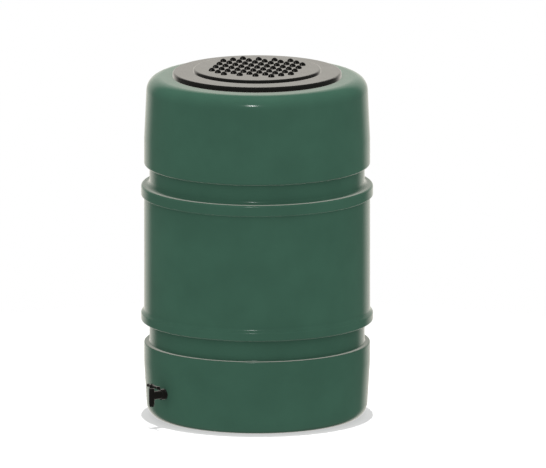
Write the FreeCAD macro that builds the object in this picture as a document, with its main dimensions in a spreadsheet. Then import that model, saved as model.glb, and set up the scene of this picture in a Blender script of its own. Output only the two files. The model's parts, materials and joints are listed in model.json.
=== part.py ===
import FreeCAD, Part
import math
import os

import Sketcher

# Rain barrel: a ribbed, moulded drum with a lift-off lid, a lift-out strainer, a quarter-turn tap low on
# the front and an overflow spout high on the back.
#
# Frame: millimetres, +Z up, origin on the drum's axis in the plane that it stands on. The tap points to -Y
# and the overflow to +Y.

DOCUMENT = FreeCAD.newDocument("RainBarrel")

# The driving dimensions. Heights of the drum and lid are counted from the ground.
SIZES = {
    # Drum, outside
    "body_radius": 285.0,
    "rib_radius": 292.4,
    "recess_radius": 271.3,
    "foot_radius": 276.4,
    "shoulder_radius": 277.8,
    "taper_top": 140.2,
    "lower_ledge": 190.6,
    "lower_rib_bottom": 245.2,
    "lower_rib_top": 273.2,
    "upper_rib_bottom": 566.2,
    "upper_rib_top": 593.8,
    "upper_ledge": 644.2,
    "shoulder_start": 711.2,
    "barrel_top": 869.7,
    "wall": 4.0,
    "base_recess": 8.0,
    "base_ring_inner": 222.0,
    "neck_radius": 200.0,
    "neck_depth": 18.0,
    # Drum, roundings
    "foot_fillet": 35.5,
    "shoulder_fillet": 35.5,
    "upper_ledge_fillet": 6.0,
    "lower_ledge_fillet": 3.0,
    "rib_fillet": 5.0,
    "rib_slope_fillet": 4.0,
    "rib_root_fillet": 9.0,
    "recess_floor_fillet": 10.0,
    # Lid
    "lid_radius": 213.0,
    "lid_top": 882.6,
    "lid_gap": 0.3,
    "lid_wall": 3.0,
    "lid_fillet": 5.0,
    "plug_clearance": 1.5,
    "plug_depth": 16.5,
    "rim_radius": 152.0,
    "rim_depth": 15.4,
    "lid_rib_depth": 8.0,
    "lid_rib_count": 24,
    "press_rib_inner": 203.0,
    "press_rib_outer": 206.0,
    "gasket_inner": 200.5,
    "gasket_outer": 209.5,
    "gasket_thickness": 3.0,
    # Strainer
    "strainer_radius": 161.6,
    "strainer_top": 890.7,
    "plate_thickness": 2.5,
    "spigot_clearance": 1.0,
    "spigot_depth": 19.5,
    "dome_radius": 8.4,
    "dome_wall": 1.8,
    "dome_pitch": 29.0,
    "dome_reach": 4.15,
    "dome_turn": -2.54,
    "slot_width": 2.2,
    "slot_sill": 1.2,
    "slot_head": 5.2,
    "boss_circle": 140.0,
    "boss_radius": 3.5,
    "boss_length": 11.5,
    "screw_count": 8,
    "screen_radius": 146.0,
    "screen_thickness": 0.6,
    "clamp_inner": 133.0,
    "clamp_thickness": 3.0,
    "screw_radius": 1.5,
    "screw_bite": 8.0,
    "screw_head_radius": 3.0,
    "screw_head_height": 2.0,
    # Tap. Heights of its parts are counted from its own flow axis.
    "tap_height": 84.2,
    "tap_reach": 38.9,
    "washer_thickness": 2.5,
    "collar_radius": 13.5,
    "collar_length": 12.5,
    "washer_radius": 13.3,
    "tap_neck_radius": 10.5,
    "neck_nose": 3.0,
    "neck_fillet": 0.9,
    "shank_radius": 10.2,
    "shank_bore": 8.2,
    "shank_bore_reach": 15.0,
    "shank_spare": 4.0,
    "hole_clearance": 0.4,
    "port_radius": 3.6,
    "column_radius": 7.2,
    "column_top": 13.5,
    "nozzle_radius": 7.0,
    "nozzle_shoulder": 11.5,
    "nozzle_taper": 19.5,
    "nozzle_drop": 28.0,
    "nozzle_tip": 5.6,
    "nozzle_bore": 2.8,
    "plug_bore": 5.4,
    "plug_seat": 11.0,
    "running_clearance": 0.05,
    "plug_waterway": 2.6,
    "plug_port": 3.0,
    "seal_height": 8.0,
    "seal_groove": 4.3,
    "seal_land": 0.65,
    "gland_foot": 11.0,
    "gland_top": 19.0,
    "stem_radius": 2.6,
    "stem_square": 3.6,
    "hub_bottom": 19.4,
    "hub_top": 29.0,
    "hub_radius": 6.0,
    "hub_web": 2.0,
    "lever_bottom": 22.0,
    "lever_top": 27.4,
    "lever_width": 6.0,
    "long_arm": 30.0,
    "short_arm": 15.0,
    "long_lobe": 5.0,
    "short_lobe": 4.0,
    "lobe_bottom": 20.6,
    "lobe_top": 28.6,
    "lobe_fillet": 2.4,
    "handle_screw": 1.0,
    "handle_screw_bite": 6.0,
    "handle_screw_head": 2.6,
    "handle_screw_height": 1.8,
    # Backnuts
    "nut_thickness": 9.0,
    "nut_flange": 2.5,
    "tap_nut_flange": 19.0,
    "tap_nut_flats": 32.0,
    "overflow_nut_flange": 24.0,
    "overflow_nut_flats": 40.0,
    # Overflow
    "overflow_height": 785.2,
    "overflow_flats": 38.0,
    "overflow_flange": 8.0,
    "overflow_shank": 14.0,
    "overflow_bore": 9.5,
    "overflow_washer": 18.5,
    "tail_radius": 12.5,
    "barb_depth": 1.3,
    "barb_pitch": 5.5,
    "barb_count": 3,
    "small_chamfer": 0.8,
}

SHEET = DOCUMENT.addObject("Spreadsheet::Sheet", "Sizes")
for row, (alias, number) in enumerate(SIZES.items(), start=1):
    SHEET.set(f"A{row}", alias)
    SHEET.set(f"B{row}", str(number))
    SHEET.setAlias(f"B{row}", alias)
DOCUMENT.recompute()

# The drum's outside radius where the tap and the overflow go through its sloping wall.
TAP_WALL = "(foot_radius + (body_radius - foot_radius) * tap_height / taper_top)"
OVERFLOW_WALL = (
    "(body_radius - (body_radius - shoulder_radius) * (overflow_height - shoulder_start)"
    " / (barrel_top - shoulder_start))"
)
SHANK_END = "(wall + washer_thickness + nut_thickness + shank_spare)"


def cell(formula):
    """The formula with every driving dimension's name pointed at the sheet."""
    words = []
    word = ""
    for letter in formula + " ":
        if letter.isalnum() or letter == "_":
            word += letter
            continue
        words.append("Sizes." + word if word in SIZES else word)
        words.append(letter)
        word = ""
    return "".join(words).strip()


def value(formula):
    """The number that a formula comes to."""
    return float(SHEET.evalExpression(cell(formula)))


def new_body(name):
    """An empty body; its name is also its label."""
    body = DOCUMENT.addObject("PartDesign::Body", name)
    body.Label = name
    return body


def place(thing, height="0", forward="0", tilt=0):
    """Put a piece's own origin at a height and a distance along +Y, tilted about X."""
    thing.Placement = FreeCAD.Placement(
        FreeCAD.Vector(0, value(forward), value(height)),
        FreeCAD.Rotation(FreeCAD.Vector(1, 0, 0), tilt),
    )
    thing.setExpression(".Placement.Base.y", cell(forward))
    thing.setExpression(".Placement.Base.z", cell(height))


def new_sketch(body, name, plane, lift="0"):
    """An empty sketch on one of the body's own planes, lifted along the plane's normal."""
    sketch = body.newObject("Sketcher::SketchObject", name)
    origin_plane = next(item for item in body.Origin.OriginFeatures if item.Role == plane)
    sketch.AttachmentSupport = (origin_plane, [""])
    sketch.MapMode = "FlatFace"
    sketch.setExpression(".AttachmentOffset.Base.z", cell(lift))
    return sketch


def pin(sketch, kind, label, formula, *where):
    """Bind one dimension of a sketch to a formula."""
    index = sketch.addConstraint(Sketcher.Constraint(kind, *where, value(formula)))
    sketch.renameConstraint(index, label)
    sketch.setExpression(f"Constraints.{label}", cell(formula))


def draw_outline(sketch, corners):
    """A closed outline of straight sides through corners given as pairs of formulas."""
    points = [FreeCAD.Vector(value(across), value(up), 0) for across, up in corners]
    first = sketch.GeometryCount
    count = len(points)
    for side in range(count):
        sketch.addGeometry(Part.LineSegment(points[side], points[(side + 1) % count]), False)
    for side in range(count):
        following = first + (side + 1) % count
        sketch.addConstraint(Sketcher.Constraint("Coincident", first + side, 2, following, 1))
    for side, (across, up) in enumerate(corners):
        pin(sketch, "DistanceX", f"across{first + side}", across, -1, 1, first + side, 1)
        pin(sketch, "DistanceY", f"up{first + side}", up, -1, 1, first + side, 1)


def draw_circle(sketch, across, up, radius):
    """A circle whose centre and radius are formulas."""
    centre = FreeCAD.Vector(value(across), value(up), 0)
    number = sketch.addGeometry(Part.Circle(centre, FreeCAD.Vector(0, 0, 1), value(radius)), False)
    pin(sketch, "DistanceX", f"across{number}", across, -1, 1, number, 3)
    pin(sketch, "DistanceY", f"up{number}", up, -1, 1, number, 3)
    pin(sketch, "Radius", f"radius{number}", radius, number)


def turned(body, name, corners, plane="XZ_Plane", axis="V_Axis", cut=False):
    """Turn an outline about an axis of its sketch, adding to the body or cutting it."""
    sketch = new_sketch(body, name + "Sketch", plane)
    draw_outline(sketch, corners)
    kind = "PartDesign::Groove" if cut else "PartDesign::Revolution"
    feature = body.newObject(kind, name)
    feature.Profile = sketch
    feature.ReferenceAxis = (sketch, [axis])
    feature.Angle = 360
    DOCUMENT.recompute()
    return feature


def raised(body, name, draw, low, high):
    """Pad what draw puts in a sketch on the body's XY plane, from one height to another."""
    sketch = new_sketch(body, name + "Sketch", "XY_Plane", low)
    draw(sketch)
    feature = body.newObject("PartDesign::Pad", name)
    feature.Profile = sketch
    feature.setExpression("Length", cell(f"{high} - ({low})"))
    DOCUMENT.recompute()
    return feature


def sunk(body, name, draw, low, high, plane="XY_Plane"):
    """Cut what draw puts in a sketch, along the plane's normal from one height to another."""
    before = body.Shape.Volume
    sketch = new_sketch(body, name + "Sketch", plane, low)
    draw(sketch)
    feature = body.newObject("PartDesign::Pocket", name)
    feature.Profile = sketch
    feature.Reversed = True
    feature.setExpression("Length", cell(f"{high} - ({low})"))
    DOCUMENT.recompute()
    if body.Shape.Volume >= before:
        raise ValueError(f"{name} removes nothing")
    return feature


def repeated(body, name, feature, count):
    """Repeat a feature evenly round the body's Z axis."""
    pattern = body.newObject("PartDesign::PolarPattern", name)
    pattern.Originals = [feature]
    z_axis = next(item for item in body.Origin.OriginFeatures if item.Role == "Z_Axis")
    pattern.Axis = (z_axis, [""])
    pattern.Angle = 360
    pattern.setExpression("Occurrences", cell(count))
    body.Tip = pattern
    DOCUMENT.recompute()
    return pattern


def ring_edges(shape, rings, along):
    """Names of the round edges with the given radii and places along an axis, in the body's frame."""
    names = []
    for radius, position in rings:
        wanted_radius = value(radius)
        wanted_position = value(position)
        for number, edge in enumerate(shape.Edges, start=1):
            if not isinstance(edge.Curve, Part.Circle):
                continue
            place_along = getattr(edge.Curve.Center, along)
            if abs(edge.Curve.Radius - wanted_radius) < 1e-3 and abs(place_along - wanted_position) < 1e-3:
                names.append(f"Edge{number}")
    if len(names) < len(rings):
        raise ValueError(f"no edge at one of {rings}")
    return names


def softened(body, name, size, rings, along="z", kind="PartDesign::Fillet"):
    """Fillet or chamfer the round edges at the given radii and places."""
    base = body.Tip
    feature = body.newObject(kind, name)
    feature.Base = (base, ring_edges(base.Shape, rings, along))
    feature.setExpression("Radius" if kind.endswith("Fillet") else "Size", cell(size))
    DOCUMENT.recompute()
    return feature


def blended(body, name, size):
    """Fillet the free-form edges where two turned shapes run into each other."""
    base = body.Tip
    edges = [f"Edge{number}" for number, edge in enumerate(base.Shape.Edges, start=1)
             if not isinstance(edge.Curve, (Part.Circle, Part.Line))]
    feature = body.newObject("PartDesign::Fillet", name)
    feature.Base = (base, edges)
    feature.setExpression("Radius", cell(size))
    DOCUMENT.recompute()
    return feature


def hexagon(flats):
    """Drawing function for a hexagon of a given size across its flats."""
    corners = [(f"{flats} / sqrt(3) * cos({turn})", f"{flats} / sqrt(3) * sin({turn})")
               for turn in range(0, 360, 60)]
    return lambda sketch: draw_outline(sketch, corners)


def disc(radius, across="0", up="0"):
    """Drawing function for a circle."""
    return lambda sketch: draw_circle(sketch, across, up, radius)


def rectangle(left, bottom, right, top):
    """Drawing function for an upright rectangle."""
    corners = [(left, bottom), (right, bottom), (right, top), (left, top)]
    return lambda sketch: draw_outline(sketch, corners)


# ---------------------------------------------------------------- drum

def make_barrel_cavity():
    """The space inside the drum: the outside's outline one wall further in, with its own roundings."""
    body = new_body("BarrelCavity")
    turned(body, "Inside", [
        ("0", "base_recess + wall"),
        ("base_ring_inner - base_recess + wall / 2", "base_recess + wall"),
        ("base_ring_inner + wall / 2", "wall"),
        ("foot_radius - wall", "wall"),
        ("body_radius - wall", "taper_top"),
        ("body_radius - wall", "lower_ledge - wall"),
        ("recess_radius - wall", "lower_ledge - wall"),
        ("recess_radius - wall", "lower_rib_bottom + wall"),
        ("rib_radius - wall", "lower_rib_bottom + wall"),
        ("rib_radius - wall", "lower_rib_top - (rib_radius - body_radius) - wall / 2"),
        ("body_radius - wall", "lower_rib_top - wall / 2"),
        ("body_radius - wall", "upper_rib_bottom + wall"),
        ("rib_radius - wall", "upper_rib_bottom + wall"),
        ("rib_radius - wall", "upper_rib_top - wall"),
        ("recess_radius - wall", "upper_rib_top - wall"),
        ("recess_radius - wall", "upper_ledge + wall"),
        ("body_radius - wall", "upper_ledge + wall"),
        ("body_radius - wall", "shoulder_start"),
        ("shoulder_radius - wall", "barrel_top - wall"),
        ("neck_radius + wall", "barrel_top - wall"),
        ("neck_radius + wall", "barrel_top - neck_depth"),
        ("neck_radius", "barrel_top - neck_depth"),
        ("neck_radius", "barrel_top"),
        ("0", "barrel_top"),
    ])
    softened(body, "InnerFootFillet", "foot_fillet - wall", [("foot_radius - wall", "wall")])
    softened(body, "InnerShoulderFillet", "shoulder_fillet - wall", [
        ("shoulder_radius - wall", "barrel_top - wall")])
    return body


def make_barrel_shell():
    """The moulded drum: a skin of even thickness that follows the ribs, with a turned-in neck."""
    body = new_body("barrel_shell")
    turned(body, "Outside", [
        ("0", "base_recess"),
        ("base_ring_inner - base_recess", "base_recess"),
        ("base_ring_inner", "0"),
        ("foot_radius", "0"),
        ("body_radius", "taper_top"),
        ("body_radius", "lower_ledge"),
        ("recess_radius", "lower_ledge"),
        ("recess_radius", "lower_rib_bottom"),
        ("rib_radius", "lower_rib_bottom"),
        ("rib_radius", "lower_rib_top - (rib_radius - body_radius)"),
        ("body_radius", "lower_rib_top"),
        ("body_radius", "upper_rib_bottom"),
        ("rib_radius", "upper_rib_bottom"),
        ("rib_radius", "upper_rib_top"),
        ("recess_radius", "upper_rib_top"),
        ("recess_radius", "upper_ledge"),
        ("body_radius", "upper_ledge"),
        ("body_radius", "shoulder_start"),
        ("shoulder_radius", "barrel_top"),
        ("0", "barrel_top"),
    ])
    softened(body, "FootFillet", "foot_fillet", [("foot_radius", "0")])
    softened(body, "ShoulderFillet", "shoulder_fillet", [("shoulder_radius", "barrel_top")])
    softened(body, "UpperLedgeFillet", "upper_ledge_fillet", [("body_radius", "upper_ledge")])
    softened(body, "LowerLedgeFillet", "lower_ledge_fillet", [("body_radius", "lower_ledge")])
    softened(body, "RibFillet", "rib_fillet", [
        ("rib_radius", "upper_rib_top"), ("rib_radius", "lower_rib_bottom")])
    softened(body, "RibSlopeFillet", "rib_slope_fillet", [
        ("rib_radius", "lower_rib_top - (rib_radius - body_radius)")])
    softened(body, "RibRootFillet", "rib_root_fillet", [("body_radius", "lower_rib_top")])
    softened(body, "RecessFloorFillet", "recess_floor_fillet", [("recess_radius", "upper_rib_top")])
    hollow = body.newObject("PartDesign::Boolean", "Hollow")
    hollow.Type = "Cut"
    hollow.setObjects([make_barrel_cavity()])
    DOCUMENT.recompute()
    # The XZ plane's normal is -Y, so a cut towards the tap has positive heights above that plane.
    sunk(body, "TapHole", disc("shank_radius + hole_clearance", "0", "tap_height"),
         "body_radius / 2", "rib_radius", plane="XZ_Plane")
    sunk(body, "OverflowHole", disc("overflow_shank + hole_clearance", "0", "overflow_height"),
         "-rib_radius", "-body_radius / 2", plane="XZ_Plane")
    return body


# ---------------------------------------------------------------- tap

def place_on_tap(thing):
    """Put a tap piece's origin where the tap's column meets its flow axis; +Y then runs to the wall."""
    place(thing, height="tap_height", forward=f"-({TAP_WALL} + tap_reach)")


def make_tap_body():
    """The tap's housing: threaded shank, collar, neck, and the upright column that ends in the nozzle."""
    body = new_body("tap_body")
    end = f"tap_reach + {SHANK_END}"
    turned(body, "Barrel", [
        ("-neck_nose", "0"),
        ("-neck_nose", "column_radius - neck_nose / 2"),
        ("neck_nose / 2", "tap_neck_radius"),
        ("tap_reach - collar_length", "tap_neck_radius"),
        ("tap_reach - collar_length", "collar_radius"),
        ("tap_reach - washer_thickness", "collar_radius"),
        ("tap_reach - washer_thickness", "shank_radius"),
        (end, "shank_radius"),
        (end, "0"),
    ], plane="YZ_Plane", axis="H_Axis")
    softened(body, "CollarFillet", "small_chamfer", [
        ("collar_radius", "tap_reach - collar_length")], along="y")
    softened(body, "ShankChamfer", "small_chamfer", [("shank_radius", end)],
             along="y", kind="PartDesign::Chamfer")
    turned(body, "Column", [
        ("0", "-nozzle_drop"),
        ("nozzle_tip", "-nozzle_drop"),
        ("nozzle_radius", "-nozzle_taper"),
        ("nozzle_radius", "-nozzle_shoulder"),
        ("column_radius", "-nozzle_shoulder"),
        ("column_radius", "column_top"),
        ("0", "column_top"),
    ], plane="YZ_Plane", axis="V_Axis")
    blended(body, "NeckFillet", "neck_fillet")
    turned(body, "FlowBore", [
        ("0", "0"),
        ("0", "port_radius"),
        ("tap_reach - shank_bore_reach - (shank_bore - port_radius)", "port_radius"),
        ("tap_reach - shank_bore_reach", "shank_bore"),
        (end, "shank_bore"),
        (end, "0"),
    ], plane="YZ_Plane", axis="H_Axis", cut=True)
    turned(body, "PlugBore", [
        ("0", "-nozzle_drop"),
        ("nozzle_bore", "-nozzle_drop"),
        ("nozzle_bore", "-plug_seat"),
        ("plug_bore", "-plug_seat"),
        ("plug_bore", "column_top"),
        ("0", "column_top"),
    ], plane="YZ_Plane", axis="V_Axis", cut=True)
    place_on_tap(body)
    return body


def make_tap_plug():
    """The turning plug: open below, with one side port, two seal grooves and a squared stem."""
    body = new_body("tap_plug")
    plug = "(plug_bore - running_clearance)"
    foot = "(running_clearance - plug_seat)"
    top = "(gland_foot - 2 * running_clearance)"
    turned(body, "Plug", [
        ("plug_waterway", foot),
        (plug, foot),
        (plug, "-seal_height - seal_land"),
        ("seal_groove", "-seal_height - seal_land"),
        ("seal_groove", "-seal_height + seal_land"),
        (plug, "-seal_height + seal_land"),
        (plug, "seal_height - seal_land"),
        ("seal_groove", "seal_height - seal_land"),
        ("seal_groove", "seal_height + seal_land"),
        (plug, "seal_height + seal_land"),
        (plug, top),
        ("stem_radius", top),
        ("stem_radius", "hub_bottom"),
        ("0", "hub_bottom"),
        ("0", "plug_port"),
        ("plug_waterway", "plug_port"),
    ])
    # The YZ plane's normal is +X: closed, the port faces sideways, and a quarter turn brings it to the wall.
    sunk(body, "Port", disc("plug_port"), "0", "plug_bore", plane="YZ_Plane")
    half = "stem_square / 2"
    raised(body, "StemSquare", rectangle(f"-{half}", f"-{half}", half, half),
           "hub_bottom", "hub_top - hub_web")
    sunk(body, "ScrewHole", disc("handle_screw"),
         "hub_top - hub_web - handle_screw_bite", "hub_top - hub_web")
    place_on_tap(body)
    return body


def make_plug_seal(name, height):
    """One O-ring in a groove of the plug."""
    ring = DOCUMENT.addObject("Part::Torus", name)
    ring.Label = name
    cord = "(plug_bore - running_clearance - seal_groove) / 2"
    ring.setExpression("Radius1", cell(f"seal_groove + {cord}"))
    ring.setExpression("Radius2", cell(cord))
    place(ring, height=f"tap_height + ({height})", forward=f"-({TAP_WALL} + tap_reach)")
    return ring


def make_tap_gland():
    """The cap that closes the column round the stem and keeps the plug in."""
    body = new_body("tap_gland")
    hole = "stem_radius + 2 * running_clearance"
    turned(body, "Cap", [
        (hole, "gland_foot"),
        ("plug_bore", "gland_foot"),
        ("plug_bore", "column_top"),
        ("column_radius", "column_top"),
        ("column_radius", "gland_top"),
        (hole, "gland_top"),
    ])
    softened(body, "CapFillet", "small_chamfer", [("column_radius", "gland_top")])
    place_on_tap(body)
    return body


def make_tap_handle():
    """The lever on the stem: a hub with a long and a short arm, each ending in a round lobe."""
    body = new_body("tap_handle")
    raised(body, "Hub", disc("hub_radius"), "hub_bottom", "hub_top")
    raised(body, "LongLobe", disc("long_lobe", across="long_arm"), "lobe_bottom", "lobe_top")
    raised(body, "ShortLobe", disc("short_lobe", across="-short_arm"), "lobe_bottom", "lobe_top")
    softened(body, "LobeFillet", "lobe_fillet", [
        ("long_lobe", "lobe_bottom"), ("long_lobe", "lobe_top"),
        ("short_lobe", "lobe_bottom"), ("short_lobe", "lobe_top")])
    softened(body, "HubFillet", "small_chamfer", [("hub_radius", "hub_top"), ("hub_radius", "hub_bottom")])
    raised(body, "Arms", rectangle("-short_arm", "-lever_width / 2", "long_arm", "lever_width / 2"),
           "lever_bottom", "lever_top")
    half = "stem_square / 2"
    sunk(body, "Socket", rectangle(f"-{half}", f"-{half}", half, half), "hub_bottom", "hub_top - hub_web")
    sunk(body, "ScrewHole", disc("handle_screw"), "hub_top - hub_web", "hub_top")
    place_on_tap(body)
    return body


def make_handle_screw():
    """The screw that holds the lever on the stem, with a cross recess in its head."""
    body = new_body("tap_handle_screw")
    raised(body, "Shank", disc("handle_screw"), "hub_top - hub_web - handle_screw_bite", "hub_top")
    raised(body, "Head", disc("handle_screw_head"), "hub_top", "hub_top + handle_screw_height")
    softened(body, "HeadFillet", "small_chamfer", [("handle_screw_head", "hub_top + handle_screw_height")])
    depth = "hub_top + handle_screw_height / 2"
    top = "hub_top + handle_screw_height"
    long = "handle_screw_head * 0.6"
    short = "handle_screw_head * 0.14"
    sunk(body, "RecessAcross", rectangle(f"-{long}", f"-{short}", long, short), depth, top)
    sunk(body, "RecessAlong", rectangle(f"-{short}", f"-{long}", short, long), depth, top)
    place_on_tap(body)
    return body


# ---------------------------------------------------------------- washers and nuts in the drum's wall

def wall_cone(name, inset):
    """The drum's tapered foot as a solid cone, its outside or, with an inset, its inside."""
    cone = DOCUMENT.addObject("Part::Cone", name)
    cone.setExpression("Radius1", cell(f"foot_radius - ({inset})"))
    cone.setExpression("Radius2", cell(f"body_radius - ({inset})"))
    cone.setExpression("Height", cell(f"taper_top - ({inset})"))
    place(cone, height=inset)
    return cone


def top_cone(name, inset):
    """The drum's tapered top section as a solid cone, its outside or, with an inset, its inside."""
    cone = DOCUMENT.addObject("Part::Cone", name)
    cone.setExpression("Radius1", cell(f"body_radius - ({inset})"))
    cone.setExpression("Radius2", cell(f"shoulder_radius - ({inset})"))
    cone.setExpression("Height", cell(f"barrel_top - ({inset}) - shoulder_start"))
    place(cone, height="shoulder_start")
    return cone


def washer_blank(name, radius, hole, height, near, far):
    """A plain thick ring with its axis along Y between two distances from the drum's axis."""
    blank = DOCUMENT.addObject("Part::Cut", name)
    for role, size in (("Base", radius), ("Tool", hole)):
        cylinder = DOCUMENT.addObject("Part::Cylinder", name + role)
        cylinder.setExpression("Radius", cell(size))
        cylinder.setExpression("Height", cell(f"{far} - ({near})"))
        place(cylinder, height=height, forward=near, tilt=-90)
        setattr(blank, role, cylinder)
    return blank


def washer(name, kind, blank, cone):
    """A rubber washer: the blank cut by, or kept within, the drum's wall, so that it seats on it."""
    ring = DOCUMENT.addObject(kind, name)
    ring.Label = name
    ring.Base = blank
    ring.Tool = cone
    return ring


def make_tap_washers():
    """The tap's two washers, outside and inside the wall, on the -Y side."""
    hole = "shank_radius"
    outer_blank = washer_blank("TapOuterBlank", "washer_radius", hole, "tap_height",
                               f"-{TAP_WALL} - washer_thickness", f"-{TAP_WALL} + washer_thickness")
    inner_blank = washer_blank("TapInnerBlank", "tap_nut_flange", hole, "tap_height",
                               f"-{TAP_WALL} + wall - washer_thickness",
                               f"-{TAP_WALL} + wall + washer_thickness")
    return [
        washer("tap_outer_washer", "Part::Cut", outer_blank, wall_cone("FootOutside", "0")),
        washer("tap_inner_washer", "Part::Common", inner_blank, wall_cone("FootInside", "wall")),
    ]


def make_overflow_washers():
    """The overflow's two washers, on the +Y side."""
    hole = "overflow_shank"
    outer_blank = washer_blank("OverflowOuterBlank", "overflow_washer", hole, "overflow_height",
                               f"{OVERFLOW_WALL} - washer_thickness", f"{OVERFLOW_WALL} + washer_thickness")
    inner_blank = washer_blank("OverflowInnerBlank", "overflow_nut_flange", hole, "overflow_height",
                               f"{OVERFLOW_WALL} - wall - washer_thickness",
                               f"{OVERFLOW_WALL} - wall + washer_thickness")
    return [
        washer("overflow_outer_washer", "Part::Cut", outer_blank, top_cone("TopOutside", "0")),
        washer("overflow_inner_washer", "Part::Common", inner_blank, top_cone("TopInside", "wall")),
    ]


def make_backnut(name, flange, flats, hole, height, forward, tilt):
    """A flanged hexagon nut on the inner end of a shank; its own +Z points into the drum."""
    body = new_body(name)
    raised(body, "Flange", disc(flange), "0", "nut_flange")
    raised(body, "Hexagon", hexagon(flats), "nut_flange", "nut_thickness")
    sunk(body, "Thread", disc(hole), "0", "nut_thickness")
    softened(body, "FlangeFillet", "small_chamfer", [(flange, "0")])
    place(body, height=height, forward=forward, tilt=tilt)
    return body


def make_backnuts():
    """The two nuts that clamp the tap and the overflow to the wall."""
    return [
        make_backnut("tap_backnut", "tap_nut_flange", "tap_nut_flats", "shank_radius", "tap_height",
                     f"-{TAP_WALL} + wall + washer_thickness", -90),
        make_backnut("overflow_backnut", "overflow_nut_flange", "overflow_nut_flats", "overflow_shank",
                     "overflow_height", f"{OVERFLOW_WALL} - wall - washer_thickness", 90),
    ]


# ---------------------------------------------------------------- overflow

def make_overflow_spout():
    """The overflow: a shank through the wall, a hexagon flange and a barbed hose tail. Its +Z points out."""
    body = new_body("overflow_spout")
    # The tail ends as far behind the axis as the tap's column stands in front of it.
    end = f"({TAP_WALL} + tap_reach + column_radius - {OVERFLOW_WALL})"
    root = "washer_thickness + overflow_flange"
    teeth = []
    for tooth in range(int(value("barb_count"))):
        tip = f"{end} - {tooth} * barb_pitch"
        teeth.append(("tail_radius - barb_depth", tip))
        teeth.append(("tail_radius", f"{tip} - barb_pitch"))
    teeth.reverse()
    turned(body, "Spout", [
        ("overflow_bore", f"-{SHANK_END}"),
        ("overflow_shank", f"-{SHANK_END}"),
        ("overflow_shank", "washer_thickness"),
        ("overflow_flats / 2", "washer_thickness"),
        ("overflow_flats / 2", root),
        ("tail_radius", root),
        *teeth,
        ("overflow_bore", end),
    ])
    raised(body, "Hexagon", hexagon("overflow_flats"), "washer_thickness", root)
    sunk(body, "HexagonBore", disc("overflow_bore"), "washer_thickness", root)
    softened(body, "ShankChamfer", "small_chamfer", [("overflow_shank", f"-{SHANK_END}")],
             kind="PartDesign::Chamfer")
    place(body, height="overflow_height", forward=OVERFLOW_WALL, tilt=-90)
    return body


# ---------------------------------------------------------------- lid

def make_lid_ring():
    """The lid: a flange over the neck, with an outer skirt, a plug skirt, a rim and stiffening ribs."""
    body = new_body("lid_ring")
    under = "lid_top - lid_wall"
    plug = "(neck_radius - plug_clearance)"
    gasket_top = "barrel_top + gasket_thickness"
    turned(body, "Ring", [
        ("rim_radius", "lid_top"),
        ("rim_radius", "lid_top - rim_depth"),
        ("rim_radius + lid_wall", "lid_top - rim_depth"),
        ("rim_radius + lid_wall", under),
        (f"{plug} - lid_wall", under),
        (f"{plug} - lid_wall", "barrel_top - plug_depth"),
        (plug, "barrel_top - plug_depth"),
        (plug, under),
        ("press_rib_inner", under),
        ("press_rib_inner", gasket_top),
        ("press_rib_outer", gasket_top),
        ("press_rib_outer", under),
        ("lid_radius - lid_wall", under),
        ("lid_radius - lid_wall", "barrel_top + lid_gap"),
        ("lid_radius", "barrel_top + lid_gap"),
        ("lid_radius", "lid_top"),
    ])
    softened(body, "LidFillet", "lid_fillet", [("lid_radius", "lid_top")])
    softened(body, "LidInnerFillet", "lid_fillet - lid_wall", [("lid_radius - lid_wall", under)])
    half = "lid_wall / 3"
    rib = raised(body, "Rib",
                 rectangle("rim_radius + lid_wall / 2", f"-{half}", f"{plug} - lid_wall / 2", half),
                 f"{under} - lid_rib_depth", f"{under} + lid_wall / 2")
    repeated(body, "Ribs", rib, "lid_rib_count")
    return body


def make_lid_gasket():
    """The flat foam ring that the lid presses on the drum's top."""
    body = new_body("lid_gasket")
    turned(body, "Gasket", [
        ("gasket_inner", "barrel_top"),
        ("gasket_outer", "barrel_top"),
        ("gasket_outer", "barrel_top + gasket_thickness"),
        ("gasket_inner", "barrel_top + gasket_thickness"),
    ])
    return body


# ---------------------------------------------------------------- strainer

def dome_centres():
    """Places of the domes: a square lattice, cut off to a round patch."""
    pitch = value("dome_pitch")
    reach = value("dome_reach")
    steps = int(reach)
    turn = FreeCAD.Rotation(FreeCAD.Vector(0, 0, 1), value("dome_turn"))
    centres = []
    for across in range(-steps, steps + 1):
        for along in range(-steps, steps + 1):
            if math.hypot(across, along) <= reach:
                centres.append(turn.multVec(FreeCAD.Vector(across * pitch, along * pitch, 0)))
    return centres


def make_strainer_dome(height):
    """One hollow dome on the plate, with two crossing slots that let water in under its crown."""
    radius = value("dome_radius")
    hollow = radius - value("dome_wall")
    sill = value("slot_sill")
    tall = value("slot_head") - sill
    width = value("slot_width")
    base = FreeCAD.Vector(0, 0, height)
    up = FreeCAD.Vector(0, 0, 1)
    root = value("plate_thickness") / 2
    outside = Part.makeSphere(radius, base, up, 0, 90, 360)
    outside = outside.fuse(Part.makeCylinder(radius, root, base - up * root, up))
    inside = Part.makeSphere(hollow, base, up, 0, 90, 360)
    inside = inside.fuse(Part.makeCylinder(hollow, root * 2, base - up * root * 2, up))
    dome = outside.cut(inside)
    for turn in (0, 90):
        slot = Part.makeBox(radius * 3, width, tall, FreeCAD.Vector(-radius * 1.5, -width / 2, height + sill))
        slot.rotate(base, up, turn + 45)
        dome = dome.cut(slot)
    return dome.removeSplitter()


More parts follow.
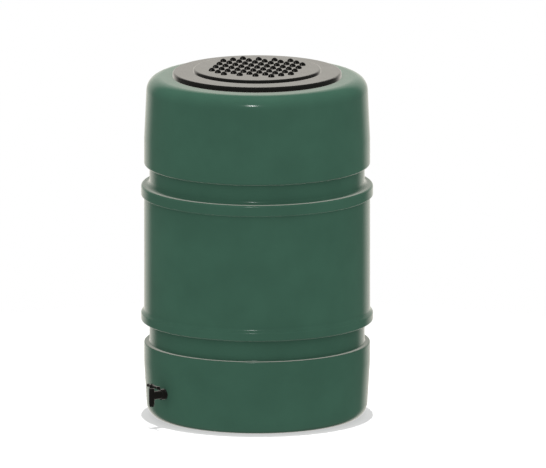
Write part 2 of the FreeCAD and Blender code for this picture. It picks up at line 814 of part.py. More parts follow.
def make_strainer_cover():
    """The raised cover: a plate with a short wall, a locating spigot, screw bosses and the slotted domes."""
    body = new_body("StrainerPlate")
    under = "strainer_top - plate_thickness"
    spigot = "(rim_radius - spigot_clearance)"
    turned(body, "Plate", [
        ("0", "strainer_top"),
        ("0", under),
        (f"{spigot} - plate_thickness", under),
        (f"{spigot} - plate_thickness", f"{under} - spigot_depth"),
        (spigot, f"{under} - spigot_depth"),
        (spigot, under),
        ("strainer_radius - plate_thickness", under),
        ("strainer_radius - plate_thickness", "lid_top"),
        ("strainer_radius", "lid_top"),
        ("strainer_radius", "strainer_top"),
    ])
    softened(body, "CoverFillet", "lid_fillet", [("strainer_radius", "strainer_top")])
    softened(body, "CoverInnerFillet", "lid_fillet - plate_thickness", [
        ("strainer_radius - plate_thickness", under)])
    boss = raised(body, "Boss", disc("boss_radius", across="boss_circle"),
                  f"{under} - boss_length", f"{under} + plate_thickness / 2")
    repeated(body, "Bosses", boss, "screw_count")
    pilot = sunk(body, "Pilot", disc("screw_radius", across="boss_circle"),
                 f"{under} - boss_length", f"{under} - boss_length + screw_bite")
    repeated(body, "Pilots", pilot, "screw_count")

    height = value("strainer_top")
    hollow = value("dome_radius") - value("dome_wall")
    depth = value("plate_thickness") * 2
    dome = make_strainer_dome(height)
    hole = Part.makeCylinder(hollow, depth, FreeCAD.Vector(0, 0, height - depth / 2))
    centres = dome_centres()
    domes = [dome.translated(centre) for centre in centres]
    holes = [hole.translated(centre) for centre in centres]
    cover = DOCUMENT.addObject("Part::Feature", "strainer_cover")
    cover.Label = "strainer_cover"
    cover.Shape = body.Shape.cut(holes).fuse(domes).removeSplitter()
    return cover


def make_insect_screen():
    """The fine mesh under the cover, as a thin disc with holes for its screws."""
    body = new_body("insect_screen")
    top = "strainer_top - plate_thickness - boss_length"
    raised(body, "Disc", disc("screen_radius"), f"{top} - screen_thickness", top)
    hole = sunk(body, "ScrewHole", disc("screw_radius", across="boss_circle"),
                f"{top} - screen_thickness", top)
    repeated(body, "ScrewHoles", hole, "screw_count")
    return body


def make_screen_clamp():
    """The flat ring that holds the mesh up against the bosses."""
    body = new_body("screen_clamp_ring")
    top = "strainer_top - plate_thickness - boss_length - screen_thickness"
    low = f"{top} - clamp_thickness"
    raised(body, "Ring", disc("screen_radius"), low, top)
    sunk(body, "Opening", disc("clamp_inner"), low, top)
    hole = sunk(body, "ScrewHole", disc("screw_radius", across="boss_circle"), low, top)
    repeated(body, "ScrewHoles", hole, "screw_count")
    return body


def make_screen_screws():
    """The screws that hold the clamp ring, heads down."""
    body = new_body("screen_screws")
    seat = "strainer_top - plate_thickness - boss_length - screen_thickness - clamp_thickness"
    end = "strainer_top - plate_thickness - boss_length + screw_bite"
    shank = raised(body, "Shank", disc("screw_radius", across="boss_circle"), seat, end)
    head = raised(body, "Head", disc("screw_head_radius", across="boss_circle"),
                  f"{seat} - screw_head_height", seat)
    pattern = repeated(body, "Screws", shank, "screw_count")
    pattern.Originals = [shank, head]
    DOCUMENT.recompute()
    return body


# ---------------------------------------------------------------- document

def check(pieces):
    """Stop if any object failed, or any piece is empty or not valid."""
    for thing in DOCUMENT.Objects:
        if "Invalid" in thing.State or "Error" in thing.State:
            raise ValueError(f"{thing.Name} failed: {thing.State}")
    for piece in pieces:
        if piece.Shape.isNull() or not piece.Shape.isValid() or not piece.Shape.Solids:
            raise ValueError(f"{piece.Label} has no valid solid")


def main():
    pieces = [
        make_barrel_shell(),
        make_tap_body(),
        make_tap_gland(),
        *make_tap_washers(),
        *make_backnuts(),
        make_overflow_spout(),
        *make_overflow_washers(),
        make_tap_plug(),
        make_plug_seal("plug_upper_seal", "seal_height"),
        make_plug_seal("plug_lower_seal", "-seal_height"),
        make_tap_handle(),
        make_handle_screw(),
        make_lid_ring(),
        make_lid_gasket(),
        make_strainer_cover(),
        make_insect_screen(),
        make_screen_clamp(),
        make_screen_screws(),
    ]
    DOCUMENT.recompute()
    check(pieces)
    os.makedirs("parts", exist_ok=True)
    for piece in pieces:
        piece.Shape.exportStep(f"parts/{piece.Label}.step")
        box = piece.Shape.BoundBox
        print(f"{piece.Label:24s} solids {len(piece.Shape.Solids):2d}  volume {piece.Shape.Volume:12.1f}"
              f"  z {box.ZMin:8.2f} to {box.ZMax:8.2f}  y {box.YMin:8.2f} to {box.YMax:8.2f}")


main()
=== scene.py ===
import json
import math

import bmesh
import bpy
from mathutils import Matrix, Vector

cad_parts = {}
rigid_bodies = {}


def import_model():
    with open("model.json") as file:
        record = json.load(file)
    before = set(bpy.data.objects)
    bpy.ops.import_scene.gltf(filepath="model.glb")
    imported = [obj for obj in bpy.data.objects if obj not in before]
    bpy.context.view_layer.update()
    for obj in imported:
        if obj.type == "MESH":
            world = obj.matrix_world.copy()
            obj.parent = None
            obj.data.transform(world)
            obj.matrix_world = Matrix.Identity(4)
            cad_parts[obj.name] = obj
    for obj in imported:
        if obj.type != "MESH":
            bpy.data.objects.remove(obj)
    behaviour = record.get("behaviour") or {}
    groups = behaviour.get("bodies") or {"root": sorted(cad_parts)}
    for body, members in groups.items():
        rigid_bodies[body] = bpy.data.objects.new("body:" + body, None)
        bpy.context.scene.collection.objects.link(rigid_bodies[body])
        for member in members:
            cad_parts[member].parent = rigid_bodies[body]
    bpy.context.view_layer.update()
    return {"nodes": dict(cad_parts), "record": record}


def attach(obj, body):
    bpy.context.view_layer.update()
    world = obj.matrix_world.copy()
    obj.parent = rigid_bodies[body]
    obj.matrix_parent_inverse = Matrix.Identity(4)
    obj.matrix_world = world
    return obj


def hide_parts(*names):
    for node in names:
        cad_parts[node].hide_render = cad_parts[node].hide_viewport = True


# Rain barrel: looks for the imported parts. Sizes are in millimetres, except in the studio, which is in metres.

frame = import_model()
NODES = frame["nodes"]

MM = 0.001

# Drum: radii and heights, as in the part's own drawing
BODY_RADIUS = 285.0
RIB_RADIUS = 292.4
RECESS_RADIUS = 271.3
FOOT_RADIUS = 276.4
SHOULDER_RADIUS = 277.8
TAPER_TOP = 140.2
LOWER_LEDGE = 190.6
LOWER_RIB = (245.2, 273.2)
UPPER_RIB = (566.2, 593.8)
UPPER_LEDGE = 644.2
SHOULDER_START = 711.2
BARREL_TOP = 869.7
WALL = 4.0
BASE_RECESS = 8.0
BASE_RING_INNER = 222.0
NECK_RADIUS = 200.0
NECK_DEPTH = 18.0
TAP_HEIGHT = 84.2
TAP_HOLE_RADIUS = 10.6
OVERFLOW_HEIGHT = 785.2
OVERFLOW_HOLE_RADIUS = 14.4

# Roundings of the drum's corners
BASE_ROUNDING = 3.0
FOOT_ROUNDING = 35.5
TAPER_BEND = 60.0
LEDGE_ROUNDING = 3.0
RIB_EDGE_ROUNDING = 5.0
RIB_ROOT_ROUNDING = 3.0
SLOPE_EDGE_ROUNDING = 4.0
SLOPE_ROOT_ROUNDING = 9.0
RECESS_ROUNDING = 2.0
UPPER_RECESS_ROUNDING = 10.0
UPPER_LEDGE_ROUNDING = 6.0
SHOULDER_BEND = 120.0
SHOULDER_ROUNDING = 35.5
NECK_ROUNDING = 2.0
NECK_END_ROUNDING = 1.0

# Roundings on the inside of the skin
INSIDE_TIGHT = 2.0
INSIDE_SMALL = 3.0
INSIDE_WIDE = 5.0
INSIDE_UPPER_RECESS = 6.0

# Insect screen: a woven middle in a flat bound edge
SCREEN_RADIUS = 146.0
SCREEN_BOTTOM = 876.1
SCREEN_THICKNESS = 0.6
BOUND_EDGE_INNER = 136.5
SCREW_CIRCLE = 140.0
SCREW_HOLE_RADIUS = 1.5
SCREW_COUNT = 8
WIRE_PITCH = 2.7
WIRE_RADIUS = 0.14
WIRE_SIDES = 5

# How finely round things are built, and the flat stretch by each rounding that keeps its shading to itself
TURNS = 224
DRILL_SIDES = 64
ARC_STEP = math.radians(10)
HOLD = 0.4
SHARP_ANGLE = math.radians(32)


# ---------------------------------------------------------------- outlines and meshes

def rounded(corners):
    """Points of a closed outline. A corner is (across, up, rounding), and its rounding becomes an arc."""
    points = []
    for number, (across, up, rounding) in enumerate(corners):
        corner = Vector((across, up))
        if rounding == 0:
            points.append(corner)
            continue
        before = (Vector(corners[number - 1][:2]) - corner).normalized()
        after = (Vector(corners[(number + 1) % len(corners)][:2]) - corner).normalized()
        half = before.angle(after) / 2
        setback = rounding / math.tan(half)
        centre = corner + (before + after).normalized() * (rounding / math.sin(half))
        spoke = corner + before * setback - centre
        sweep = math.pi - 2 * half
        if before.x * after.y - before.y * after.x > 0:
            sweep = -sweep
        steps = max(3, round(abs(sweep) / ARC_STEP))
        points.append(corner + before * (setback + HOLD))
        for step in range(steps + 1):
            points.append(centre + Matrix.Rotation(sweep * step / steps, 2) @ spoke)
        points.append(corner + after * (setback + HOLD))
    return points


def finished(name, build):
    """An object from a bmesh, in metres, with sharp edges kept and the rest shaded smooth."""
    bmesh.ops.recalc_face_normals(build, faces=build.faces)
    bmesh.ops.scale(build, vec=(MM, MM, MM), verts=build.verts)
    mesh = bpy.data.meshes.new(name)
    build.to_mesh(mesh)
    build.free()
    mesh.shade_smooth()
    mesh.set_sharp_from_angle(angle=SHARP_ANGLE)
    piece = bpy.data.objects.new(name, mesh)
    bpy.context.scene.collection.objects.link(piece)
    return piece


def turned(name, outline):
    """A closed outline of (radius, height) points turned about the Z axis."""
    build = bmesh.new()
    rings = []
    for across, up in outline:
        if across == 0:
            rings.append([build.verts.new((0, 0, up))])
            continue
        angles = [math.tau * turn / TURNS for turn in range(TURNS)]
        rings.append([build.verts.new((across * math.cos(a), across * math.sin(a), up)) for a in angles])
    for first, second in zip(rings, rings[1:] + rings[:1]):
        if len(first) == 1 and len(second) == 1:
            continue
        for turn in range(TURNS):
            following = (turn + 1) % TURNS
            corners = [first[turn % len(first)], first[following % len(first)],
                       second[following % len(second)], second[turn % len(second)]]
            build.faces.new(dict.fromkeys(corners))
    return finished(name, build)


def drill(radius, middle, tilt=0.0, depth=60.0):
    """A round cutter round a middle point, along Z or tilted from it about X.

    It is turned by half a side, so that none of its corners meets a mesh line of the piece that it cuts.
    """
    build = bmesh.new()
    bmesh.ops.create_cone(build, cap_ends=True, segments=DRILL_SIDES,
                          radius1=radius, radius2=radius, depth=depth)
    bmesh.ops.rotate(build, verts=build.verts, matrix=Matrix.Rotation(math.pi / DRILL_SIDES, 3, "Z"))
    bmesh.ops.rotate(build, verts=build.verts, matrix=Matrix.Rotation(tilt, 3, "X"))
    bmesh.ops.translate(build, verts=build.verts, vec=middle)
    return finished("Drill", build)


def drilled(piece, drills):
    """The piece with holes cut by the drills, which are then thrown away."""
    for number, tool in enumerate(drills):
        cut = piece.modifiers.new(f"Hole{number}", "BOOLEAN")
        cut.operation = "DIFFERENCE"
        cut.solver = "EXACT"
        cut.object = tool
    graph = bpy.context.evaluated_depsgraph_get()
    mesh = bpy.data.meshes.new_from_object(piece.evaluated_get(graph))
    piece.modifiers.clear()
    piece.data = mesh
    mesh.set_sharp_from_angle(angle=SHARP_ANGLE)
    for tool in drills:
        bpy.data.objects.remove(tool)
    return piece


# ---------------------------------------------------------------- pieces

def drum_outline():
    """The drum's skin, outside from the middle of the base up to the neck, then inside back down.

    The lower rib's top slopes back to the body, and the ribs' other sides are square.
    """
    rib_bottom, rib_top = LOWER_RIB
    slope = RIB_RADIUS - BODY_RADIUS
    outside = [
        (0, BASE_RECESS, 0),
        (BASE_RING_INNER - BASE_RECESS, BASE_RECESS, BASE_ROUNDING),
        (BASE_RING_INNER, 0, BASE_ROUNDING),
        (FOOT_RADIUS, 0, FOOT_ROUNDING),
        (BODY_RADIUS, TAPER_TOP, TAPER_BEND),
        (BODY_RADIUS, LOWER_LEDGE, LEDGE_ROUNDING),
        (RECESS_RADIUS, LOWER_LEDGE, LEDGE_ROUNDING),
        (RECESS_RADIUS, rib_bottom, RECESS_ROUNDING),
        (RIB_RADIUS, rib_bottom, RIB_EDGE_ROUNDING),
        (RIB_RADIUS, rib_top - slope, SLOPE_EDGE_ROUNDING),
        (BODY_RADIUS, rib_top, SLOPE_ROOT_ROUNDING),
        (BODY_RADIUS, UPPER_RIB[0], RIB_ROOT_ROUNDING),
        (RIB_RADIUS, UPPER_RIB[0], RIB_ROOT_ROUNDING),
        (RIB_RADIUS, UPPER_RIB[1], RIB_EDGE_ROUNDING),
        (RECESS_RADIUS, UPPER_RIB[1], UPPER_RECESS_ROUNDING),
        (RECESS_RADIUS, UPPER_LEDGE, RECESS_ROUNDING),
        (BODY_RADIUS, UPPER_LEDGE, UPPER_LEDGE_ROUNDING),
        (BODY_RADIUS, SHOULDER_START, SHOULDER_BEND),
        (SHOULDER_RADIUS, BARREL_TOP, SHOULDER_ROUNDING),
        (NECK_RADIUS, BARREL_TOP, NECK_ROUNDING),
        (NECK_RADIUS, BARREL_TOP - NECK_DEPTH, NECK_END_ROUNDING),
        (NECK_RADIUS + WALL, BARREL_TOP - NECK_DEPTH, NECK_END_ROUNDING),
        (NECK_RADIUS + WALL, BARREL_TOP - WALL, NECK_ROUNDING),
    ]
    inside = [
        (SHOULDER_RADIUS - WALL, BARREL_TOP - WALL, SHOULDER_ROUNDING - WALL),
        (BODY_RADIUS - WALL, SHOULDER_START, SHOULDER_BEND),
        (BODY_RADIUS - WALL, UPPER_LEDGE + WALL, INSIDE_SMALL),
        (RECESS_RADIUS - WALL, UPPER_LEDGE + WALL, INSIDE_WIDE),
        (RECESS_RADIUS - WALL, UPPER_RIB[1] - WALL, INSIDE_UPPER_RECESS),
        (RIB_RADIUS - WALL, UPPER_RIB[1] - WALL, INSIDE_TIGHT),
        (RIB_RADIUS - WALL, UPPER_RIB[0] + WALL, INSIDE_TIGHT),
        (BODY_RADIUS - WALL, UPPER_RIB[0] + WALL, INSIDE_SMALL),
        (BODY_RADIUS - WALL, rib_top - WALL / 2, INSIDE_WIDE),
        (RIB_RADIUS - WALL, rib_top - slope - WALL / 2, INSIDE_SMALL),
        (RIB_RADIUS - WALL, rib_bottom + WALL, INSIDE_TIGHT),
        (RECESS_RADIUS - WALL, rib_bottom + WALL, INSIDE_WIDE),
        (RECESS_RADIUS - WALL, LOWER_LEDGE - WALL, INSIDE_WIDE),
        (BODY_RADIUS - WALL, LOWER_LEDGE - WALL, INSIDE_TIGHT),
        (BODY_RADIUS - WALL, TAPER_TOP, TAPER_BEND),
        (FOOT_RADIUS - WALL, WALL, FOOT_ROUNDING - WALL),
        (BASE_RING_INNER + WALL / 2, WALL, BASE_ROUNDING),
        (BASE_RING_INNER - BASE_RECESS + WALL / 2, BASE_RECESS + WALL, BASE_ROUNDING),
        (0, BASE_RECESS + WALL, 0),
    ]
    return rounded(outside + inside)


def make_drum():
    """The moulded drum at full smoothness, with its two holes."""
    drum = turned("drum", drum_outline())
    return drilled(drum, [
        drill(TAP_HOLE_RADIUS, (0, -BODY_RADIUS, TAP_HEIGHT), math.pi / 2),
        drill(OVERFLOW_HOLE_RADIUS, (0, BODY_RADIUS, OVERFLOW_HEIGHT), math.pi / 2),
    ])


def add_wire(build, offset, along_x, first_over):
    """One wire of the weave, passing over and under the wires that cross it, with capped ends."""
    reach = math.sqrt((BOUND_EDGE_INNER - 2 * WIRE_RADIUS) ** 2 - offset ** 2)
    middle = SCREEN_BOTTOM + SCREEN_THICKNESS / 2
    crossings = int(reach / WIRE_PITCH)
    stops = [(-reach, 0)]
    for crossing in range(-crossings, crossings + 1):
        side = 1 if (crossing + first_over) % 2 == 0 else -1
        stops.append((crossing * WIRE_PITCH, side * WIRE_RADIUS))
    stops.append((reach, 0))
    rings = []
    for along, lift in stops:
        ring = []
        for corner in range(WIRE_SIDES):
            angle = math.tau * corner / WIRE_SIDES
            across = offset + WIRE_RADIUS * math.cos(angle)
            up = middle + lift + WIRE_RADIUS * math.sin(angle)
            ring.append(build.verts.new((along, across, up) if along_x else (across, along, up)))
        rings.append(ring)
    for first, second in zip(rings, rings[1:]):
        for corner in range(WIRE_SIDES):
            following = (corner + 1) % WIRE_SIDES
            build.faces.new((first[corner], first[following], second[following], second[corner]))
    build.faces.new(rings[0])
    build.faces.new(rings[-1])


def make_screen():
    """The insect screen: plain-woven wires inside a flat edge with its screw holes."""
    build = bmesh.new()
    count = int(BOUND_EDGE_INNER / WIRE_PITCH)
    for number in range(-count, count + 1):
        add_wire(build, number * WIRE_PITCH, True, number)
        add_wire(build, number * WIRE_PITCH, False, number + 1)
    weave = finished("insect_screen_weave", build)
    edge = turned("insect_screen_edge", [
        (BOUND_EDGE_INNER, SCREEN_BOTTOM),
        (SCREEN_RADIUS, SCREEN_BOTTOM),
        (SCREEN_RADIUS, SCREEN_BOTTOM + SCREEN_THICKNESS),
        (BOUND_EDGE_INNER, SCREEN_BOTTOM + SCREEN_THICKNESS),
    ])
    drills = []
    for number in range(SCREW_COUNT):
        angle = math.tau * number / SCREW_COUNT
        middle = (SCREW_CIRCLE * math.cos(angle), SCREW_CIRCLE * math.sin(angle), SCREEN_BOTTOM)
        drills.append(drill(SCREW_HOLE_RADIUS, middle, depth=6.0))
    drilled(edge, drills)
    return [weave, edge]


# ---------------------------------------------------------------- materials

# Moulded plastic: how far its colour strays, and how deep its grain is
MOTTLE = 0.05
GRAIN = 0.02

# Strainer: the height of the plate that its domes stand on, and over what height above it the gloss falls off
PLATE_TOP = 890.7
DOME_FADE = (0.6, 1.2)
PLATE_SPECULAR = 0.5
DOME_SPECULAR = 0.2


class Finish:
    """A Principled material whose colour, roughness and bump come from noises over the object."""

    def __init__(self, name, roughness, ior=1.5, metallic=0.0):
        self.material = bpy.data.materials.new(name)
        self.material.use_nodes = True
        self.tree = self.material.node_tree
        self.shader = self.tree.nodes["Principled BSDF"]
        self.shader.inputs["Roughness"].default_value = roughness
        self.shader.inputs["IOR"].default_value = ior
        self.shader.inputs["Metallic"].default_value = metallic
        self.coordinates = self.tree.nodes.new("ShaderNodeTexCoord").outputs["Object"]
        self.normal = None

    def noise(self, per_metre, detail=2.0, stretch=(1, 1, 1)):
        """A noise with about so many bumps to the metre, stretched along the axes."""
        spread = self.tree.nodes.new("ShaderNodeMapping")
        spread.inputs["Scale"].default_value = stretch
        self.tree.links.new(self.coordinates, spread.inputs["Vector"])
        noise = self.tree.nodes.new("ShaderNodeTexNoise")
        noise.inputs["Scale"].default_value = per_metre
        noise.inputs["Detail"].default_value = detail
        self.tree.links.new(spread.outputs["Vector"], noise.inputs["Vector"])
        return noise.outputs["Fac"]

    def cells(self, per_metre):
        """The distance from the nearest of many scattered points, for pits and pores."""
        cells = self.tree.nodes.new("ShaderNodeTexVoronoi")
        cells.inputs["Scale"].default_value = per_metre
        self.tree.links.new(self.coordinates, cells.inputs["Vector"])
        return cells.outputs["Distance"]

    def ramp(self, source, low, high, low_colour, high_colour):
        """A colour that runs from one to another between two levels of a source."""
        ramp = self.tree.nodes.new("ShaderNodeValToRGB")
        first, second = ramp.color_ramp.elements
        first.position = low
        first.color = (*low_colour, 1)
        second.position = high
        second.color = (*high_colour, 1)
        self.tree.links.new(source, ramp.inputs["Fac"])
        return ramp.outputs["Color"]

    def span(self, source, low, high, from_low=0.3, from_high=0.7):
        """A number that runs from low to high as the source does between two levels."""
        span = self.tree.nodes.new("ShaderNodeMapRange")
        span.inputs["From Min"].default_value = from_low
        span.inputs["From Max"].default_value = from_high
        span.inputs["To Min"].default_value = low
        span.inputs["To Max"].default_value = high
        self.tree.links.new(source, span.inputs["Value"])
        return span.outputs["Result"]

    def colour(self, colour):
        """Let an output drive the colour."""
        self.tree.links.new(colour, self.shader.inputs["Base Color"])

    def roughness(self, number):
        """Let an output drive the roughness."""
        self.tree.links.new(number, self.shader.inputs["Roughness"])

    def bump(self, height, depth_mm):
        """Add a bump of a given depth on top of those already there."""
        bump = self.tree.nodes.new("ShaderNodeBump")
        bump.inputs["Distance"].default_value = depth_mm * MM
        self.tree.links.new(height, bump.inputs["Height"])
        if self.normal:
            self.tree.links.new(self.normal, bump.inputs["Normal"])
        self.normal = bump.outputs["Normal"]
        self.tree.links.new(self.normal, self.shader.inputs["Normal"])


def shade(colour, factor):
    """The same hue, lighter or darker."""
    return tuple(min(1.0, part * factor) for part in colour)


def moulded_plastic(name, colour, roughness, ior=1.5):
    """Satin moulded plastic: a slightly mottled colour, uneven gloss and a fine even grain."""
    finish = Finish(name, roughness, ior)
    cloud = finish.noise(9, detail=4)
    finish.colour(finish.ramp(cloud, 0.35, 0.65, shade(colour, 1 - MOTTLE), shade(colour, 1 + MOTTLE)))
    smear = finish.noise(30, detail=3)
    finish.roughness(finish.span(smear, roughness * 0.92, roughness * 1.08))
    finish.bump(finish.noise(1400, detail=2), GRAIN)
    return finish.material


def domed_plastic(name, colour, roughness, ior):
    """The lid's plastic, with the domes above the strainer's plate left duller than the plate."""
    material = moulded_plastic(name, colour, roughness, ior)
    tree = material.node_tree
    shader = tree.nodes["Principled BSDF"]
    place = tree.nodes.new("ShaderNodeTexCoord")
    split = tree.nodes.new("ShaderNodeSeparateXYZ")
    tree.links.new(place.outputs["Object"], split.inputs["Vector"])
    gloss = tree.nodes.new("ShaderNodeMapRange")
    gloss.inputs["From Min"].default_value = (PLATE_TOP + DOME_FADE[0]) * MM
    gloss.inputs["From Max"].default_value = (PLATE_TOP + DOME_FADE[1]) * MM
    gloss.inputs["To Min"].default_value = PLATE_SPECULAR
    gloss.inputs["To Max"].default_value = DOME_SPECULAR
    tree.links.new(split.outputs["Z"], gloss.inputs["Value"])
    tree.links.new(gloss.outputs["Result"], shader.inputs["Specular IOR Level"])
    return material


def soft_rubber(name, colour, pore_per_metre, pore_mm):
    """Matt rubber or foam: blotchy, dull, and pitted with small pores."""
    finish = Finish(name, 0.8)
    cloud = finish.noise(60, detail=4)
    finish.colour(finish.ramp(cloud, 0.35, 0.65, shade(colour, 0.8), shade(colour, 1.25)))
    finish.roughness(finish.span(finish.noise(150), 0.72, 0.9))
    finish.bump(finish.cells(pore_per_metre), pore_mm)
    return finish.material


def screw_metal(name, colour, roughness):
    """Turned metal: slight tarnish in patches and fine tool marks."""
    finish = Finish(name, roughness, metallic=1.0)
    patch = finish.noise(400, detail=4)
    finish.colour(finish.ramp(patch, 0.35, 0.65, shade(colour, 0.85), shade(colour, 1.1)))
    finish.roughness(finish.span(finish.noise(900), roughness * 0.8, roughness * 1.3))
    finish.bump(finish.noise(3000, stretch=(1, 1, 8)), 0.01)
    return finish.material


def coated_fibre(name, colour):
    """Glass-fibre yarn in a thin plastic coat, with slow changes of tone along it."""
    finish = Finish(name, 0.45)
    tone = finish.noise(120, detail=3)
    finish.colour(finish.ramp(tone, 0.3, 0.7, shade(colour, 0.75), shade(colour, 1.3)))
    finish.roughness(finish.span(finish.noise(500), 0.35, 0.55))
    finish.bump(finish.noise(5000), 0.01)
    return finish.material


def make_materials():
    """One material for each material slot in the record."""
    return {
        "green_polyethylene": moulded_plastic("green_polyethylene", (0.062, 0.157, 0.108), 0.16, ior=1.2),
        "black_lid_plastic": domed_plastic("black_lid_plastic", (0.008, 0.008, 0.0072), 0.2, ior=1.48),
        "black_tap_plastic": moulded_plastic("black_tap_plastic", (0.008, 0.008, 0.0068), 0.35, ior=1.4),
        "grey_plug_plastic": moulded_plastic("grey_plug_plastic", (0.12, 0.12, 0.12), 0.4),
        "black_rubber": soft_rubber("black_rubber", (0.012, 0.012, 0.012), 2500, 0.03),
        "foam_gasket": soft_rubber("foam_gasket", (0.03, 0.03, 0.03), 900, 0.25),
        "screen_mesh": coated_fibre("screen_mesh", (0.05, 0.05, 0.05)),
        "stainless_screw": screw_metal("stainless_screw", (0.6, 0.59, 0.57), 0.28),
        "blackened_screw": screw_metal("blackened_screw", (0.03, 0.03, 0.03), 0.5),
    }


# ---------------------------------------------------------------- studio

# Camera: the way it looks from, and where its picture's middle is from the foot of the drum's axis
CAMERA_HEADING = math.radians(326)
CAMERA_ELEVATION = math.radians(11.2)
CAMERA_DISTANCE = 4.0
CAMERA_CLIP = 100.0
PICTURE_WIDTH = 1.3768
AIM_RIGHT = 0.0401
AIM_UP = 0.4555

# Surroundings: the light on matt colour, then what gloss mirrors, a dim room with a bright backdrop
AMBIENT_LIGHT = 0.66
ROOM_LIGHT = 0.18
BACKDROP_LIGHT = 1.2
MIRRORED_TINT = (1.0, 0.96, 0.88)
BACKDROP_SPREAD = math.radians(37)
BACKDROP_EDGE = math.radians(9)

# Floor: its fade runs between two shares of its radius
FLOOR_RADIUS = 1.5
FLOOR_SIDES = 128
FLOOR_TONES = (0.33, 0.35)
FLOOR_FADE = (0.6, 0.98)
FLOOR_GLOW = 0.5
FLOOR_SUN = 5.0
FLOOR_SUN_SPREAD = math.radians(0.5)
FLOOR_SUN_HEIGHT = 3.0


def towards(heading, elevation):
    """A unit vector in a heading from +X and an elevation."""
    flat = math.cos(elevation)
    return Vector((flat * math.cos(heading), flat * math.sin(heading), math.sin(elevation)))


def aimed(thing, location, direction):
    """Put an object at a location, looking along a direction."""
    thing.location = location
    thing.rotation_euler = direction.to_track_quat("-Z", "Y").to_euler()
    bpy.context.scene.collection.objects.link(thing)
    return thing


def make_camera():
    """A parallel camera at the picture's angle, aimed at the middle of the picture."""
    back = towards(CAMERA_HEADING, CAMERA_ELEVATION)
    right = Vector((-math.sin(CAMERA_HEADING), math.cos(CAMERA_HEADING), 0))
    up = back.cross(right)
    lens = bpy.data.cameras.new("camera")
    lens.type = "ORTHO"
    lens.ortho_scale = PICTURE_WIDTH
    lens.clip_end = CAMERA_CLIP
    camera = bpy.data.objects.new("camera", lens)
    aimed(camera, right * AIM_RIGHT + up * AIM_UP + back * CAMERA_DISTANCE, -back)
    bpy.context.scene.camera = camera


def make_light(name, heading, elevation, distance, width, height, watts, mirrored):
    """An oval light aimed at the middle of the barrel, seen either only in gloss or only on matt colour."""
    lamp = bpy.data.lights.new(name, "AREA")
    lamp.shape = "ELLIPSE"
    lamp.size = width
    lamp.size_y = height
    lamp.energy = watts
    direction = towards(heading, elevation)
    middle = Vector((0, 0, BARREL_TOP * MM / 2))
    light = aimed(bpy.data.objects.new(name, lamp), middle + direction * distance, -direction)
    light.visible_glossy = mirrored
    light.visible_diffuse = not mirrored
    return light


def make_surroundings():
    """Even light on matt colour. Gloss mirrors a dim room and a bright backdrop. The camera sees white."""
    world = bpy.data.worlds.new("surroundings")
    world.use_nodes = True
    nodes = world.node_tree.nodes
    links = world.node_tree.links
    direction = nodes.new("ShaderNodeTexCoord").outputs["Generated"]
    facing = nodes.new("ShaderNodeVectorMath")
    facing.operation = "DOT_PRODUCT"
    facing.inputs[1].default_value = towards(CAMERA_HEADING + math.pi, 0)
    links.new(direction, facing.inputs[0])
    room = nodes.new("ShaderNodeMapRange")
    room.interpolation_type = "SMOOTHSTEP"
    room.inputs["From Min"].default_value = math.cos(BACKDROP_SPREAD + BACKDROP_EDGE)
    room.inputs["From Max"].default_value = math.cos(BACKDROP_SPREAD - BACKDROP_EDGE)
    room.inputs["To Min"].default_value = ROOM_LIGHT
    room.inputs["To Max"].default_value = BACKDROP_LIGHT
    links.new(facing.outputs["Value"], room.inputs["Value"])
    ray = nodes.new("ShaderNodeLightPath")
    mirrored = nodes.new("ShaderNodeMix")
    mirrored.inputs["A"].default_value = AMBIENT_LIGHT
    links.new(ray.outputs["Is Glossy Ray"], mirrored.inputs["Factor"])
    links.new(room.outputs["Result"], mirrored.inputs["B"])
    seen = nodes.new("ShaderNodeMix")
    seen.inputs["B"].default_value = 1.0
    links.new(ray.outputs["Is Camera Ray"], seen.inputs["Factor"])
    links.new(mirrored.outputs["Result"], seen.inputs["A"])
    links.new(seen.outputs["Result"], nodes["Background"].inputs["Strength"])
    tint = nodes.new("ShaderNodeValToRGB")
    plain, warm = tint.color_ramp.elements
    plain.color = (1, 1, 1, 1)
    warm.color = (*MIRRORED_TINT, 1)
    links.new(ray.outputs["Is Glossy Ray"], tint.inputs["Fac"])
    links.new(tint.outputs["Color"], nodes["Background"].inputs["Color"])
    bpy.context.scene.world = world


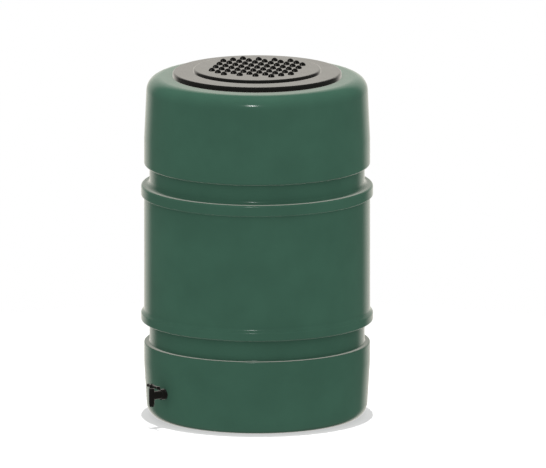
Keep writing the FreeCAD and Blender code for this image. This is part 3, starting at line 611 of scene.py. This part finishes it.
def make_floor():
    """A pale floor that fades out round the barrel, and is bright enough to show shadows only."""
    build = bmesh.new()
    bmesh.ops.create_circle(build, cap_ends=True, segments=FLOOR_SIDES, radius=FLOOR_RADIUS / MM)
    floor = finished("floor", build)
    pale = Finish("pale_floor", 0.9)
    dark_tone, light_tone = [(tone, tone, tone) for tone in FLOOR_TONES]
    pale.colour(pale.ramp(pale.noise(6, detail=3), 0.3, 0.7, dark_tone, light_tone))
    distance = pale.tree.nodes.new("ShaderNodeVectorMath")
    distance.operation = "LENGTH"
    pale.tree.links.new(pale.coordinates, distance.inputs[0])
    fade_start, fade_end = [FLOOR_RADIUS * share for share in FLOOR_FADE]
    fade = pale.span(distance.outputs["Value"], 1, 0, fade_start, fade_end)
    pale.tree.links.new(fade, pale.shader.inputs["Alpha"])
    pale.shader.inputs["Emission Color"].default_value = (1, 1, 1, 1)
    pale.shader.inputs["Emission Strength"].default_value = FLOOR_GLOW
    floor.data.materials.append(pale.material)
    floor.visible_diffuse = False
    floor.visible_glossy = False
    return floor


def light_only(light, thing):
    """Let a light fall on one object alone."""
    lit = bpy.data.collections.new(f"lit_by_{light.name}")
    lit.objects.link(thing)
    light.light_linking.receiver_collection = lit


def make_floor_sun():
    """Light straight down, by which the barrel casts a crisp shadow as wide as its ribs."""
    lamp = bpy.data.lights.new("floor_sun", "SUN")
    lamp.energy = FLOOR_SUN
    lamp.angle = FLOOR_SUN_SPREAD
    sun = bpy.data.objects.new("floor_sun", lamp)
    return aimed(sun, Vector((0, 0, FLOOR_SUN_HEIGHT)), Vector((0, 0, -1)))


def make_studio(drum):
    """White surroundings, a soft light overhead, a key light for the drum, and a floor with its own sun."""
    bpy.context.scene.view_settings.view_transform = "Standard"
    make_surroundings()
    make_light("overhead", heading=0, elevation=math.radians(90), distance=3.0,
               width=2.0, height=2.0, watts=27, mirrored=False)
    key = make_light("key", heading=CAMERA_HEADING - math.radians(6), elevation=math.radians(37),
                     distance=5.0, width=0.6, height=0.12, watts=105, mirrored=True)
    light_only(key, drum)
    light_only(make_floor_sun(), make_floor())


# ---------------------------------------------------------------- everything

def add_piece(piece, body, node, slot, materials):
    """Let a finer piece stand in for a node, moving with its body and made of its material."""
    piece.data.materials.append(materials[slot])
    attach(piece, body)
    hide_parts(node)


def main():
    """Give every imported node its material, put in the finer drum and screen, and light the whole."""
    materials = make_materials()
    slot_of_node = {}
    for row in frame["record"]["subparts"]:
        slot_of_node[row["node"]] = row["material_slot"]
    for name, node in NODES.items():
        node.data.materials.clear()
        node.data.materials.append(materials[slot_of_node[name]])

    drum = make_drum()
    add_piece(drum, "barrel", "barrel_shell", "green_polyethylene", materials)
    for piece in make_screen():
        add_piece(piece, "strainer", "insect_screen", "screen_mesh", materials)
    # No piece shows in another's gloss: only the surroundings and the key light do
    for piece in bpy.context.scene.objects:
        piece.visible_glossy = False
    make_studio(drum)
    make_camera()


main()
